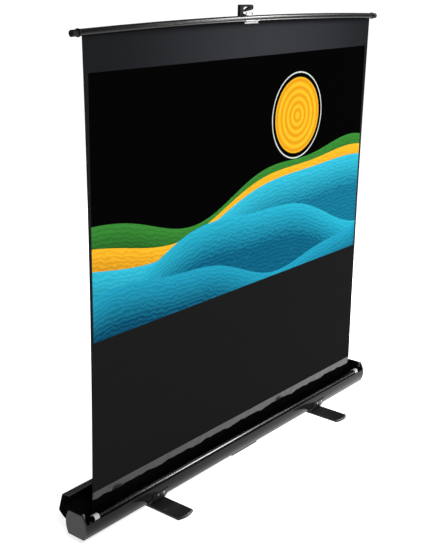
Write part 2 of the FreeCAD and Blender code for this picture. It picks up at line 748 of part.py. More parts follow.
def make_hook_loop():
    """Hook plate on the back of the bar, with a window and a peg that meets the hook."""
    x = -size("loop_width") / 4
    z = BAR_CENTRE_Z - 6
    top = BAR_CENTRE_Z + size("bar_radius") + size("loop_rise")
    plate = box("loop_plate", (x, LOOP_Y, z), CELL + "loop_width", LOOP_THICKNESS, top - z)
    middle = Placement(Vector(x + size("loop_width") / 2, 0, 0), Rotation())
    shell = padded("loop_shell", "YZ_Plane", bar_shell(-150.0, -30.0), CELL + "loop_width", middle)
    window_height = 9.0
    window = box("loop_window", (x + 5, LOOP_Y - 1, top - 4 - window_height), CELL + "loop_width - 10",
                 LOOP_THICKNESS + 2, window_height)
    hook_face = size("mast_plane") - size("hook_thickness") / 2
    peg_radius = 3.0
    peg_z = BAR_CENTRE_Z + size("bar_radius") - 2.5
    peg = cylinder("loop_peg", (-4, LOOP_Y, peg_z), Y_AXIS, peg_radius, hook_face - size("body_gap") - LOOP_Y)
    holes = [
        cylinder("loop_hole_%d" % index, (hole_x, LOOP_Y - 3, hole_z), Y_AXIS, CLIP_SCREW_RADIUS, 10)
        for index, (hole_x, hole_z) in enumerate(loop_screw_places())
    ]
    keep(cut("loop", fuse("loop_solid", cut("loop_frame", plate, window), shell, peg), *holes), "hook_loop")


# Mast

def make_mast_base():
    """Two cheeks on a floor plate hold the fold pin."""
    half = size("outer_tube_radius") + 3
    cheek = 2.5
    inside = size("outer_tube_radius") + 0.5
    pieces = [box("base_plate", (MAST.x - 40, MAST.y - inside - cheek, CASE_FLOOR), 80,
                  2 * (inside + cheek), 3.0)]
    for index, y in enumerate((MAST.y - inside - cheek, MAST.y + inside)):
        pieces.append(box("base_cheek_%d" % index, (MAST.x - half, y, CASE_FLOOR), 2 * half, cheek,
                          PIVOT_Z - CASE_FLOOR))
        pieces.append(cylinder("base_round_%d" % index, (MAST.x, y, PIVOT_Z), Y_AXIS, half, cheek))
    stop = box("base_stop", (MAST.x + 4, MAST.y - inside, PIVOT_Z - 40), 8, 2 * inside, 10)
    bore = cylinder("base_bore", (MAST.x, MAST.y - inside - cheek - 1, PIVOT_Z), Y_AXIS,
                    CELL + "fold_pin_radius", 2 * (inside + cheek) + 2)
    keep(cut("mast_base", fuse("mast_base_solid", *pieces, stop), bore), "mast_base_bracket")
    pin = cylinder("fold_pin_shank", (MAST.x, MAST.y - inside - cheek, PIVOT_Z), Y_AXIS,
                   CELL + "fold_pin_radius", 2 * (inside + cheek))
    head = cylinder("fold_pin_head", (MAST.x, MAST.y + inside + cheek, PIVOT_Z), Y_AXIS,
                    CELL + "fold_pin_radius + 2.5", 2.0)
    keep(fuse("fold_pin", pin, head), "mast_fold_pin")


def make_mast_foot():
    """Eye on the fold pin, with a spigot up the outer tube."""
    half = size("outer_tube_radius")
    neck = box("mast_foot_neck", (MAST.x - half, MAST.y - half, PIVOT_Z), 2 * half, 2 * half,
               OUTER_BASE_Z - PIVOT_Z)
    eye = cylinder("mast_foot_eye", (MAST.x, MAST.y - half, PIVOT_Z), Y_AXIS, CELL + "outer_tube_radius",
                   2 * half)
    spigot = cylinder("mast_foot_spigot", (MAST.x, MAST.y, OUTER_BASE_Z), Z_AXIS,
                      CELL + "outer_tube_radius - sizes.mast_tube_wall", 14)
    bore = cylinder("mast_foot_bore", (MAST.x, MAST.y - half - 1, PIVOT_Z), Y_AXIS,
                    CELL + "fold_pin_radius + sizes.running_gap", 2 * half + 2)
    keep(cut("mast_eye", fuse("mast_foot_solid", neck, eye, spigot), bore), "mast_foot")


def make_mast_tube(name, radius_cell, z_from, z_to):
    radius = CELL + radius_cell
    keep(tube(name + "_wall", (MAST.x, MAST.y, z_from), Z_AXIS, radius, radius + " - sizes.mast_tube_wall",
              z_to - z_from), name)


def make_slide_bush(name, inner_cell, outer_cell, z_from):
    """Nylon ring on the foot of a sliding tube."""
    keep(tube(name + "_ring", (MAST.x, MAST.y, z_from), Z_AXIS,
              CELL + outer_cell + " - sizes.mast_tube_wall - sizes.running_gap", CELL + inner_cell, 28), name)


def make_twist_collar(name, lower_cell, upper_cell, joint_z):
    """Ribbed collar over the top of one tube, closing on the next."""
    seat = 14.0
    height = size("collar_height")
    base_z = joint_z - seat
    radius = size(lower_cell) + size("collar_wall")
    skin = cylinder(name + "_skin", (MAST.x, MAST.y, base_z), Z_AXIS,
                    CELL + lower_cell + " + sizes.collar_wall", CELL + "collar_height")
    lower = cylinder(name + "_seat", (MAST.x, MAST.y, base_z - 1), Z_AXIS,
                     CELL + lower_cell + " + sizes.running_gap", seat + size("body_gap") + 1)
    upper = cylinder(name + "_throat", (MAST.x, MAST.y, base_z), Z_AXIS,
                     CELL + upper_cell + " + sizes.running_gap", CELL + "collar_height + 1")
    grooves = []
    count = 16
    for index in range(count):
        angle = 2 * math.pi * index / count
        place = (MAST.x + radius * math.cos(angle), MAST.y + radius * math.sin(angle), base_z + 6)
        grooves.append(cylinder("%s_groove_%d" % (name, index), place, Z_AXIS, 1.2, height - 12))
    keep(cut(name, skin, lower, upper, *grooves), name)


def make_mast_head():
    """Sleeve on the inner tube that carries a flat claw opening to the right."""
    left = MAST.x - 10
    post = MAST.x + 10
    top = HOOK_TOP_Z
    deck = BAR_CENTRE_Z + size("bar_radius")
    ball = 10.0
    ball_x = left + size("hook_width") - ball
    ball_z = top - ball - 1
    arm = top - 9
    tip = (left + 0.40 * size("hook_width"), deck + 13)
    gap_radius = 8.0
    profile = [
        line((left, HEAD_BASE_Z + 30), (left, top - 3)),
        arc((left, top - 3), (left + 0.9, top - 0.9), (left + 3, top)),
        line((left + 3, top), (ball_x, ball_z + ball)),
        arc((ball_x, ball_z + ball), (ball_x + ball, ball_z), (ball_x, ball_z - ball)),
        line((ball_x, ball_z - ball), tip),
        line(tip, (tip[0] + 1.5, tip[1] + 5)),
        line((tip[0] + 1.5, tip[1] + 5), (ball_x - ball, arm)),
        line((ball_x - ball, arm), (post + gap_radius, arm)),
        arc((post + gap_radius, arm), (post + 2.4, arm - 2.4), (post, arm - gap_radius)),
        line((post, arm - gap_radius), (post, deck + 6)),
        line((post, deck + 6), (post + 20, deck + 1.5)),
        line((post + 20, deck + 1.5), (post + 20, deck - 5)),
        line((post + 20, deck - 5), (post, deck - 7)),
        line((post, deck - 7), (post, HEAD_BASE_Z + 30)),
        line((post, HEAD_BASE_Z + 30), (left, HEAD_BASE_Z + 30)),
    ]
    claw = padded("claw", "XZ_Plane", profile, CELL + "hook_thickness",
                  Placement(Vector(0, MAST.y, 0), Rotation()))
    sleeve = cylinder("head_sleeve", (MAST.x, MAST.y, HEAD_BASE_Z), Z_AXIS,
                      CELL + "inner_tube_radius + 3", 40)
    bore = cylinder("head_bore", (MAST.x, MAST.y, HEAD_BASE_Z - 1), Z_AXIS, CELL + "inner_tube_radius",
                    INNER_TOP_Z - HEAD_BASE_Z + 1)
    keep(cut("head", fuse("head_solid", claw, sleeve), bore), "mast_head")


# Feet

SCREW_SPREAD = 16.0
SCREW_HEAD_RADIUS = 4.5
SCREW_HEAD_HEIGHT = 2.4
SADDLE_ROOM = 0.15


def saddle_screw_height():
    return CASE_BOTTOM + 0.72 * size("saddle_ear_rise")


def make_foot_saddle(name, side):
    """Cradle under the case, with an ear up its front and its back."""
    ear_top = CASE_BOTTOM + size("saddle_ear_rise")
    wrap = BarrelSide(-size("saddle_wall"))
    seat = BarrelSide(-SADDLE_ROOM)
    low = CASE_BOTTOM
    toe = size("bottom_width") / 2 - 4
    profile = [
        line((-toe, SADDLE_BOTTOM), (toe, SADDLE_BOTTOM)),
        line((toe, SADDLE_BOTTOM), wrap.point(low, 1)),
        wrap.stretch(low, ear_top, 1),
        line(wrap.point(ear_top, 1), seat.point(ear_top, 1)),
        seat.stretch(ear_top, low, 1),
        line(seat.point(low, 1), seat.point(low, -1)),
        seat.stretch(low, ear_top, -1),
        line(seat.point(ear_top, -1), wrap.point(ear_top, -1)),
        wrap.stretch(ear_top, low, -1),
        line(wrap.point(low, -1), (-toe, SADDLE_BOTTOM)),
    ]
    block = padded(name + "_block", "YZ_Plane", profile, CELL + "foot_width",
                   Placement(Vector(side * FOOT_X, 0, 0), Rotation()))
    hole = cylinder(name + "_hole", (side * FOOT_X, 0, SADDLE_BOTTOM - 1), Z_AXIS,
                    CELL + "foot_pivot_radius", CASE_BOTTOM - SADDLE_BOTTOM + 2)
    keep(cut(name, block, hole), name)


def make_saddle_screws():
    wrap = BarrelSide(-size("saddle_wall"))
    z = saddle_screw_height()
    y = wrap.y_at(z)
    out = Vector(0, y - wrap.centre.x, z - wrap.centre.y)
    out.normalize()
    screws = []
    for side in (-1, 1):
        for offset in (-SCREW_SPREAD, SCREW_SPREAD):
            for face in (-1, 1):
                normal = Vector(0, face * out.y, out.z)
                seat = Vector(side * FOOT_X + offset, face * y, z)
                tag = "saddle_screw_%d" % len(screws)
                screws.append(cylinder(tag, seat, normal, SCREW_HEAD_RADIUS, SCREW_HEAD_HEIGHT))
    keep(group("saddle_screw_set", *screws), "saddle_screws")


def make_foot(name, side):
    """Flat bar with bowed ends, its top edge bevelled wide at the ends and narrow along the sides."""
    body = new_body(name + "_bar")
    half_width = size("foot_width") / 2
    half_length = size("foot_length") / 2
    shoulder = half_length - size("foot_end_bow")
    profile = [
        line((half_width, -shoulder), (half_width, shoulder)),
        arc((half_width, shoulder), (0, half_length), (-half_width, shoulder)),
        line((-half_width, shoulder), (-half_width, -shoulder)),
        arc((-half_width, -shoulder), (0, -half_length), (half_width, -shoulder)),
    ]
    sketch = sketch_on(body, "XY_Plane", profile, name + "_outline")
    pad = body.newObject("PartDesign::Pad", name + "_pad")
    pad.Profile = sketch
    pad.setExpression("Length", CELL + "foot_thickness")
    doc.recompute()
    ends = body.newObject("PartDesign::Chamfer", name + "_end_bevel")
    ends.Base = (pad, top_edges(pad.Shape, curved=True))
    ends.setExpression("Size", CELL + "foot_end_bevel")
    doc.recompute()
    sides = body.newObject("PartDesign::Chamfer", name + "_side_bevel")
    sides.Base = (ends, top_edges(ends.Shape, curved=False))
    sides.setExpression("Size", CELL + "foot_side_bevel")
    body.Placement = Placement(Vector(side * FOOT_X, 0, size("pad_thickness")), Rotation())
    doc.recompute()
    hole = cylinder(name + "_hole", (side * FOOT_X, 0, 0), Z_AXIS,
                    CELL + "foot_pivot_radius + sizes.running_gap", FOOT_TOP + 1)
    recess = cylinder(name + "_recess", (side * FOOT_X, 0, 0), Z_AXIS, CELL + "foot_pivot_radius + 5",
                      size("pad_thickness") + 5)
    keep(cut(name + "_solid", body, hole, recess), name)


def make_foot_hardware(suffix, side):
    x = side * FOOT_X
    washer_radius = 24.0
    washer = tube("washer_" + suffix, (x, 0, FOOT_TOP), Z_AXIS, washer_radius,
                  CELL + "foot_pivot_radius + sizes.running_gap", CELL + "washer_thickness")
    keep(washer, "foot_washer_" + suffix)
    shank_base = size("pad_thickness") + 4.6
    shank = cylinder("pivot_shank_" + suffix, (x, 0, shank_base), Z_AXIS, CELL + "foot_pivot_radius",
                     CASE_FLOOR + 3 - shank_base)
    head = cylinder("pivot_head_" + suffix, (x, 0, shank_base - 4), Z_AXIS, CELL + "foot_pivot_radius + 4", 4)
    nut = cylinder("pivot_nut_" + suffix, (x, 0, CASE_FLOOR), Z_AXIS, CELL + "foot_pivot_radius + 4", 6)
    keep(fuse("pivot_" + suffix, shank, head, nut), "foot_pivot_" + suffix)
    pad_length = 46.0
    pad_width = size("foot_width") - 20
    inset = 18.0
    pads = []
    for index, end in enumerate((-1, 1)):
        y = end * (size("foot_length") / 2 - inset - pad_length / 2) - pad_length / 2
        pads.append(box("pad_%s_%d" % (suffix, index), (x - pad_width / 2, y, 0), pad_width, pad_length,
                        CELL + "pad_thickness"))
    keep(group("pads_" + suffix, *pads), "foot_pads_" + suffix)


# Carrying handle

LUG_WIDTH = 9.0
STUB_ROOT = 1.5


def make_carry_handle():
    half = size("handle_span") / 2
    pivot = HANDLE_PIVOT
    eye_radius = size("handle_thickness") / 2
    lugs = []
    for index, side in enumerate((-1, 1)):
        x = side * (half - LUG_WIDTH / 2) - LUG_WIDTH / 2
        block = box("lug_block_%d" % index, (x, pivot.y - 5, pivot.z), LUG_WIDTH, 10, CASE_BOTTOM - pivot.z)
        eye = cylinder("lug_eye_%d" % index, (x, pivot.y, pivot.z), X_AXIS, 5, LUG_WIDTH)
        hole = cylinder("lug_hole_%d" % index, (x - 1, pivot.y, pivot.z), X_AXIS,
                        CELL + "handle_pin_radius + sizes.running_gap", LUG_WIDTH + 2)
        lugs.append(cut("lug_%d" % index, fuse("lug_solid_%d" % index, block, eye), hole))
    keep(group("lugs", *lugs), "carry_handle_lugs")
    inner = half - LUG_WIDTH - size("body_gap")
    arm_width = 9.0
    reach = size("handle_reach") - eye_radius
    pieces = []
    for index, side in enumerate((-1, 1)):
        x = side * (inner - arm_width / 2) - arm_width / 2
        pieces.append(cylinder("arm_eye_%d" % index, (x, pivot.y, pivot.z), X_AXIS, eye_radius, arm_width))
        pieces.append(box("arm_%d" % index, (x, pivot.y - reach, pivot.z - eye_radius), arm_width, reach,
                          CELL + "handle_thickness"))
        stub_length = LUG_WIDTH + STUB_ROOT
        stub_x = side * (inner + (LUG_WIDTH - STUB_ROOT) / 2) - stub_length / 2
        pieces.append(cylinder("arm_stub_%d" % index, (stub_x, pivot.y, pivot.z), X_AXIS,
                               CELL + "handle_pin_radius", stub_length))
    grip = cylinder("handle_grip", (-inner, pivot.y - reach, pivot.z), X_AXIS, eye_radius, 2 * inner)
    bar_depth = 8.0
    bar = box("handle_bar", (-inner, pivot.y - reach, pivot.z - eye_radius), 2 * inner, bar_depth,
              CELL + "handle_thickness")
    keep(fuse("handle", grip, bar, *pieces), "carry_handle")


# Assembly

make_trough()
make_end_cap("end_cap_left", -1)
make_end_cap("end_cap_right", 1)
make_cap_screws()
make_nylon_sleeve("nylon_sleeve_left", -1)
make_nylon_sleeve("nylon_sleeve_right", 1)
make_lid_catch("lid_catch_left", -1)
make_lid_catch("lid_catch_right", 1)
make_hinge_rod()
make_lid()
make_roller()
make_spring()
make_roller_bracket("roller_bracket_left", -1, CELL + "gudgeon_radius + sizes.running_gap")
make_roller_bracket("roller_bracket_right", 1, CELL + "spring_shaft_radius")
make_fabric()
make_top_bar()
make_bar_end("bar_end_left", -1)
make_bar_end("bar_end_right", 1)
make_handle_clip()
make_hook_loop()
make_mast_base()
make_mast_foot()
make_mast_tube("mast_tube_outer", "outer_tube_radius", OUTER_BASE_Z, OUTER_TOP_Z)
make_mast_tube("mast_tube_middle", "middle_tube_radius", MIDDLE_BASE_Z, MIDDLE_TOP_Z)
make_mast_tube("mast_tube_inner", "inner_tube_radius", INNER_BASE_Z, INNER_TOP_Z)
make_slide_bush("slide_bush_lower", "middle_tube_radius", "outer_tube_radius", MIDDLE_BASE_Z)
make_slide_bush("slide_bush_upper", "inner_tube_radius", "middle_tube_radius", INNER_BASE_Z)
make_twist_collar("twist_collar_lower", "outer_tube_radius", "middle_tube_radius", OUTER_TOP_Z)
make_twist_collar("twist_collar_upper", "middle_tube_radius", "inner_tube_radius", MIDDLE_TOP_Z)
make_mast_head()
make_foot_saddle("foot_saddle_left", -1)
make_foot_saddle("foot_saddle_right", 1)
make_saddle_screws()
make_foot("foot_left", -1)
make_foot("foot_right", 1)
make_foot_hardware("left", -1)
make_foot_hardware("right", 1)
make_carry_handle()

# Checks and files

doc.recompute()
for item in doc.Objects:
    faults = [state for state in item.State if state in ("Invalid", "Error")]
    if faults:
        raise RuntimeError("%s is %s" % (item.Label, ", ".join(faults)))
for item in SUB_PARTS:
    if item.Shape.isNull() or not item.Shape.isValid():
        raise RuntimeError("%s has no valid shape" % item.Label)
    if not item.Shape.Solids:
        raise RuntimeError("%s has no solid" % item.Label)
os.makedirs("parts", exist_ok=True)
for item in SUB_PARTS:
    item.Shape.exportStep("parts/%s.step" % item.Label)
    print(item.Label, len(item.Shape.Solids), round(item.Shape.Volume, 1))
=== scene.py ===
"""Looks of the pull-up projection screen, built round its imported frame."""
import math

import bpy
from mathutils import Matrix, Vector


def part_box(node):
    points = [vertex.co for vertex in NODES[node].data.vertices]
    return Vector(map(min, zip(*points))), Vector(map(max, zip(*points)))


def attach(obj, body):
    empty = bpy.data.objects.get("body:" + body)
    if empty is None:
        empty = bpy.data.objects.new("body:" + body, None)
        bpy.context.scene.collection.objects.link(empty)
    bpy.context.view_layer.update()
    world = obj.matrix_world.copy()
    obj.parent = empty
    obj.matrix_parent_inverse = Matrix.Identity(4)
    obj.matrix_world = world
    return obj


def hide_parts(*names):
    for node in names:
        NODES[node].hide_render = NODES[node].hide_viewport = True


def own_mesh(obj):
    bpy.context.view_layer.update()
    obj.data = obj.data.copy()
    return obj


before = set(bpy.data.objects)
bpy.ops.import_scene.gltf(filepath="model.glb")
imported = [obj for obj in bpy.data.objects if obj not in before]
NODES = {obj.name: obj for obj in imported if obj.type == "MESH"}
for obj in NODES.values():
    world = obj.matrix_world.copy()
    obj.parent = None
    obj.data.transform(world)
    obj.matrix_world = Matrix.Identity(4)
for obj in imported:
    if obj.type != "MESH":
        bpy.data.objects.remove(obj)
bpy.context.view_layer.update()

# Places on the object, in metres

CLOTH_LOW, CLOTH_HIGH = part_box("screen_fabric")
CLOTH_Y = (CLOTH_LOW.y + CLOTH_HIGH.y) / 2
CLOTH_HALF = CLOTH_HIGH.x
CLOTH_THICKNESS = CLOTH_HIGH.y - CLOTH_LOW.y
CLOTH_WAIST = 0.011
PICTURE_HALF = 0.8855
PICTURE_BOTTOM = 0.777
PICTURE_TOP = 1.734
DROP_BOTTOM = 0.181
BAR_HALF = 0.925
BAR_BOW = 0.016
BAR_CROWN = 1.882
BOW_RADIUS = (BAR_HALF ** 2 + BAR_BOW ** 2) / (2 * BAR_BOW)
ROLL_LOW, ROLL_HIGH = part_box("fabric_roll")
SLEEVE_LOW, SLEEVE_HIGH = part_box("nylon_sleeve_left")
BEAD_Y = (SLEEVE_LOW.y + SLEEVE_HIGH.y) / 2
BEAD_Z = (SLEEVE_LOW.z + SLEEVE_HIGH.z) / 2
LID_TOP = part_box("lid")[1].z

# Limits of painted zones, in metres: where each starts and where it is full

BEAD_ZONE = (0.0118, 0.0113)
BAND_FOOT = (0.0030, 0.0038)
BAND_HEAD = (0.0080, 0.0065)
LIP_SHEEN_ZONE = (LID_TOP - 0.024, LID_TOP - 0.010)
# End caps: limits of the grey face inside its rim of painted shade
CAP_OUTSIDE = (0.9886, 0.9894)
CAP_ARC_CENTRE_Y = -0.03697
CAP_ARC_CENTRE_Z = 0.07696
CAP_ARC_RIM = (0.0886, 0.0880)
CAP_FOOT = (0.0336, 0.0344)
# Below the bar's crown: where the cloth starts to come clear of the painted shadow of the bar, and where it
# is fully clear
CLEAR_OF_BAR_SHADOW = (0.005, 0.032)

# Half widths of the soft edges of the print and the drop, and where the painted sheen on the border is
# brightest, in metres

PRINT_EDGE = 0.0008
DROP_EDGE = 0.0005
BORDER_SHEEN_X = 0.15

# Camera, fitted to the photograph

CAMERA_PLACE = (-3.2291, -2.435, 2.0959)
CAMERA_YAW = math.radians(51.43)
CAMERA_PITCH = math.radians(17.38)
CAMERA_ROLL = math.radians(1.03)
FOCAL_PX = 999.3
LONG_SIDE_PX = 547
SENSOR_MM = 36.0

# Lights: name, place, target, width, height, watts, seen only in reflections

LIGHTS = (
    ("key_box", (-2.6, -3.2, 3.6), (0, 0, 0.8), 2.0, 1.6, 115, False),
    ("side_box", (3.15, -1.9, 3.0), (3.15, 0, 0.4), 0.8, 1.6, 95, False),
    ("gleam_box_high", (2.95, -1.43, 3.65), (2.95, 0, 0.7), 0.7, 1.5, 180, True),
    ("gleam_box_low", (3.2, -2.8, 1.9), (3.2, 0, 0.1), 0.7, 1.2, 75, True),
    ("gleam_strip", (0.37, -0.75, 0.22), (-0.3, -0.06, 0.1), 0.42, 0.25, 11, True),
    ("gleam_sheet", (2.5, -0.65, 0.02), (0, 0, 1.88), 0.9, 0.7, 46, True),
)
SKY_RISE = {"From Min": 0.12, "From Max": 0.6, "To Min": 0.05, "To Max": 0.36}
FLOOR_SIZE = 120
FLOOR_HEIGHT = -0.0005
FLOOR_GLOW_LEFT, FLOOR_GLOW_MOST, FLOOR_GLOW_RIGHT = 0.72, 1.5, 0.8
GLOW_RISE, GLOW_FALL = (-1.0, 1.0), (2.8, 3.4)
WALL_RADIUS, WALL_HEIGHT, WALL_MIDDLE = 55, 80, 39

# Colours and textures

WHITE = (1.0, 1.0, 1.0, 1.0)
NEUTRAL = (1.0, 1.0, 1.0)
COOL = (0.95, 1.0, 1.12)
MAUVE = (1.0, 0.97, 1.04)
NOISE_MIDDLE = (0.3, 0.7)
THREAD_PITCH = 0.0011

# Made-up picture, in shares of its width and height
# A hill: height of its crest, swing, pace, shift, small swing, colours at the crest and deep below it

DISC_ACROSS, DISC_UP, DISC_RADIUS, DISC_EDGE = 0.70, 0.72, 0.170, 0.002
DISC_RINGS = 190.0
HALO_INSIDE, HALO_OUTSIDE, HALO_EDGE = 0.189, 0.195, 0.001
GOLD_DEEP, GOLD_BRIGHT = (0.62, 0.26, 0.008, 1), (0.86, 0.44, 0.02, 1)
HALO_COLOUR = (0.55, 0.58, 0.55, 1)
HILLS = (
    (0.47, 0.10, 5.2, 3.4, 0.030, (0.035, 0.20, 0.03, 1), (0.004, 0.03, 0.006, 1)),
    (0.42, 0.11, 4.7, 3.9, 0.024, (0.80, 0.40, 0.02, 1), (0.30, 0.10, 0.004, 1)),
    (0.37, 0.12, 4.3, 4.3, 0.020, (0.03, 0.42, 0.56, 1), (0.006, 0.12, 0.20, 1)),
    (0.24, 0.11, 5.1, 5.3, 0.022, (0.02, 0.36, 0.50, 1), (0.004, 0.08, 0.15, 1)),
    (0.11, 0.08, 6.0, 0.6, 0.018, (0.015, 0.28, 0.42, 1), (0.003, 0.05, 0.10, 1)),
)
HILL_EDGE, HILL_DEPTH = 0.001, 0.17
HILL_LINES, LINE_STRENGTH, LINE_WOBBLE = 330.0, 0.13, 0.05

# Waves in the cloth: swing, length and shift of each

SLACK_SWING, SLACK_LENGTH = 0.0004, 0.085
SLACK_BOTTOM, SLACK_RISE, SLACK_TOP, SLACK_FALL = 0.095, 0.03, 0.30, 0.12
SLACK_PHASES = ((1.2, 0.11, 0.0), (1.7, 0.173, 1.0))
STRIP_WAVES = ((0.0022, 0.231, 0.4), (0.0018, 0.117, 2.1), (0.0012, 0.061, 0.9))
STRIP_REACH = 0.024


# Camera, floor and light

def aim_camera():
    """Camera at the place and turn that the photograph was fitted with."""
    yaw, pitch, roll = CAMERA_YAW, CAMERA_PITCH, CAMERA_ROLL
    forward = Vector((math.sin(yaw) * math.cos(pitch), math.cos(yaw) * math.cos(pitch), -math.sin(pitch)))
    level = Vector((math.cos(yaw), -math.sin(yaw), 0))
    upright = level.cross(forward)
    right = level * math.cos(roll) + upright * math.sin(roll)
    up = upright * math.cos(roll) - level * math.sin(roll)
    data = bpy.data.cameras.new("camera")
    data.sensor_width = SENSOR_MM
    data.lens = FOCAL_PX * SENSOR_MM / LONG_SIDE_PX
    camera = bpy.data.objects.new("camera", data)
    bpy.context.scene.collection.objects.link(camera)
    turn = Matrix((right, up, -forward)).transposed().to_4x4()
    camera.matrix_world = Matrix.Translation(CAMERA_PLACE) @ turn
    bpy.context.scene.camera = camera


def soft_light(name, place, target, width, height, watts, only_gloss):
    """Area light that the camera does not see; one for gloss only shows just in reflections."""
    data = bpy.data.lights.new(name, "AREA")
    data.shape = "RECTANGLE"
    data.size = width
    data.size_y = height
    data.energy = watts
    light = bpy.data.objects.new(name, data)
    light.visible_camera = False
    light.visible_diffuse = not only_gloss
    bpy.context.scene.collection.objects.link(light)
    light.location = place
    light.rotation_euler = (Vector(target) - Vector(place)).to_track_quat("-Z", "Y").to_euler()


def light_studio():
    """Bright above, dim round the horizon, as in a studio with an overhead cloth."""
    world = bpy.data.worlds.new("studio")
    bpy.context.scene.world = world
    world.use_nodes = True
    tree = world.node_tree
    direction = tree.nodes.new("ShaderNodeTexCoord").outputs["Generated"]
    parts = tree.nodes.new("ShaderNodeSeparateXYZ")
    tree.links.new(direction, parts.inputs[0])
    rise = tree.nodes.new("ShaderNodeMapRange")
    rise.interpolation_type = "SMOOTHSTEP"
    tree.links.new(parts.outputs["Z"], rise.inputs["Value"])
    for socket, number in SKY_RISE.items():
        rise.inputs[socket].default_value = number
    sky = tree.nodes["Background"]
    sky.inputs["Color"].default_value = WHITE
    tree.links.new(rise.outputs[0], sky.inputs["Strength"])
    for light in LIGHTS:
        soft_light(*light)
    bpy.context.scene.view_settings.view_transform = "Standard"


def deselect():
    bpy.ops.object.select_all(action="DESELECT")


def lay_floor():
    """Pale paper that glows most to the right of the case."""
    deselect()
    bpy.ops.mesh.primitive_plane_add(size=FLOOR_SIZE, location=(0, 0, FLOOR_HEIGHT))
    floor = bpy.context.object
    floor.name = "floor"
    paper = Finish("floor_paper", Roughness=0.9)
    paper.set("Base Color", grey(0.85))
    paper.set("Specular IOR Level", 0.05)
    paper.set("Emission Color", WHITE)
    x, _, _ = paper.axes()
    near_side = paper.spread(x, *GLOW_RISE, FLOOR_GLOW_LEFT, FLOOR_GLOW_MOST, smooth=True)
    far_side = paper.spread(x, *GLOW_FALL, FLOOR_GLOW_MOST, FLOOR_GLOW_RIGHT, smooth=True)
    paper.set("Emission Strength", paper.math("MINIMUM", near_side, far_side))
    floor.data.materials.append(paper.material)


def hang_backdrop():
    """White wall far round the set, seen by the camera only, so it adds no light and no reflections."""
    deselect()
    bpy.ops.mesh.primitive_cylinder_add(vertices=96, radius=WALL_RADIUS, depth=WALL_HEIGHT,
                                        end_fill_type="NOTHING", location=(0, 0, WALL_MIDDLE))
    wall = bpy.context.object
    wall.name = "backdrop"
    white = Finish("backdrop_white", Roughness=1.0)
    white.set("Base Color", grey(0.0))
    white.set("Specular IOR Level", 0.0)
    white.set("Emission Color", WHITE)
    white.set("Emission Strength", 1.0)
    wall.data.materials.append(white.material)
    for kind in ("diffuse", "glossy", "transmission", "volume_scatter", "shadow"):
        setattr(wall, "visible_" + kind, False)


# Finishes

class Finish:
    """A node material with a few words for the things that are done often."""

    def __init__(self, name, **numbers):
        self.material = bpy.data.materials.new(name)
        self.material.use_nodes = True
        self.tree = self.material.node_tree
        self.shader = self.tree.nodes["Principled BSDF"]
        self.place = self.tree.nodes.new("ShaderNodeTexCoord").outputs["Object"]
        for socket, number in numbers.items():
            self.set(socket, number)

    def set(self, socket, value):
        self.feed(self.shader.inputs[socket], value)

    def feed(self, socket, value):
        if isinstance(value, bpy.types.NodeSocket):
            self.tree.links.new(value, socket)
        else:
            socket.default_value = value

    def math(self, operation, *values):
        node = self.tree.nodes.new("ShaderNodeMath")
        node.operation = operation
        for socket, value in zip(node.inputs, values):
            self.feed(socket, value)
        return node.outputs[0]

    def diagonal(self, first, second):
        """Length of the diagonal over two runs at right angles."""
        squares = [self.math("MULTIPLY", run, run) for run in (first, second)]
        return self.math("SQRT", self.math("ADD", *squares))

    def axes(self):
        node = self.tree.nodes.new("ShaderNodeSeparateXYZ")
        self.feed(node.inputs[0], self.place)
        return node.outputs

    def stretched(self, scale):
        node = self.tree.nodes.new("ShaderNodeMapping")
        self.feed(node.inputs["Vector"], self.place)
        node.inputs["Scale"].default_value = scale
        return node.outputs[0]

    def noise(self, scale, detail, vector=None):
        node = self.tree.nodes.new("ShaderNodeTexNoise")
        self.feed(node.inputs["Vector"], vector or self.place)
        node.inputs["Scale"].default_value = scale
        node.inputs["Detail"].default_value = detail
        return node.outputs["Fac"]

    def streaks(self, along, slow, quick, detail):
        """Noise drawn out along one axis."""
        scale = [slow if axis == along else quick for axis in "xyz"]
        return self.noise(1.0, detail, self.stretched(scale))

    def spread(self, value, start, end, low=0.0, high=1.0, smooth=False):
        node = self.tree.nodes.new("ShaderNodeMapRange")
        node.interpolation_type = "SMOOTHSTEP" if smooth else "LINEAR"
        for socket, number in zip(node.inputs, (value, start, end, low, high)):
            self.feed(socket, number)
        return node.outputs[0]

    def vary(self, noise, low, high):
        """The middle of a noise, where most of it lies, spread between two numbers."""
        return self.spread(noise, *NOISE_MIDDLE, low, high)

    def mix(self, share, first, second):
        node = self.tree.nodes.new("ShaderNodeMix")
        node.data_type = "RGBA"
        for index, value in ((0, share), (6, first), (7, second)):
            self.feed(node.inputs[index], value)
        return node.outputs[2]

    def bump(self, height, strength, distance):
        node = self.tree.nodes.new("ShaderNodeBump")
        self.feed(node.inputs["Height"], height)
        node.inputs["Strength"].default_value = strength
        node.inputs["Distance"].default_value = distance
        self.set("Normal", node.outputs[0])


def grey(value, tint=NEUTRAL):
    return (value * tint[0], value * tint[1], value * tint[2], 1.0)


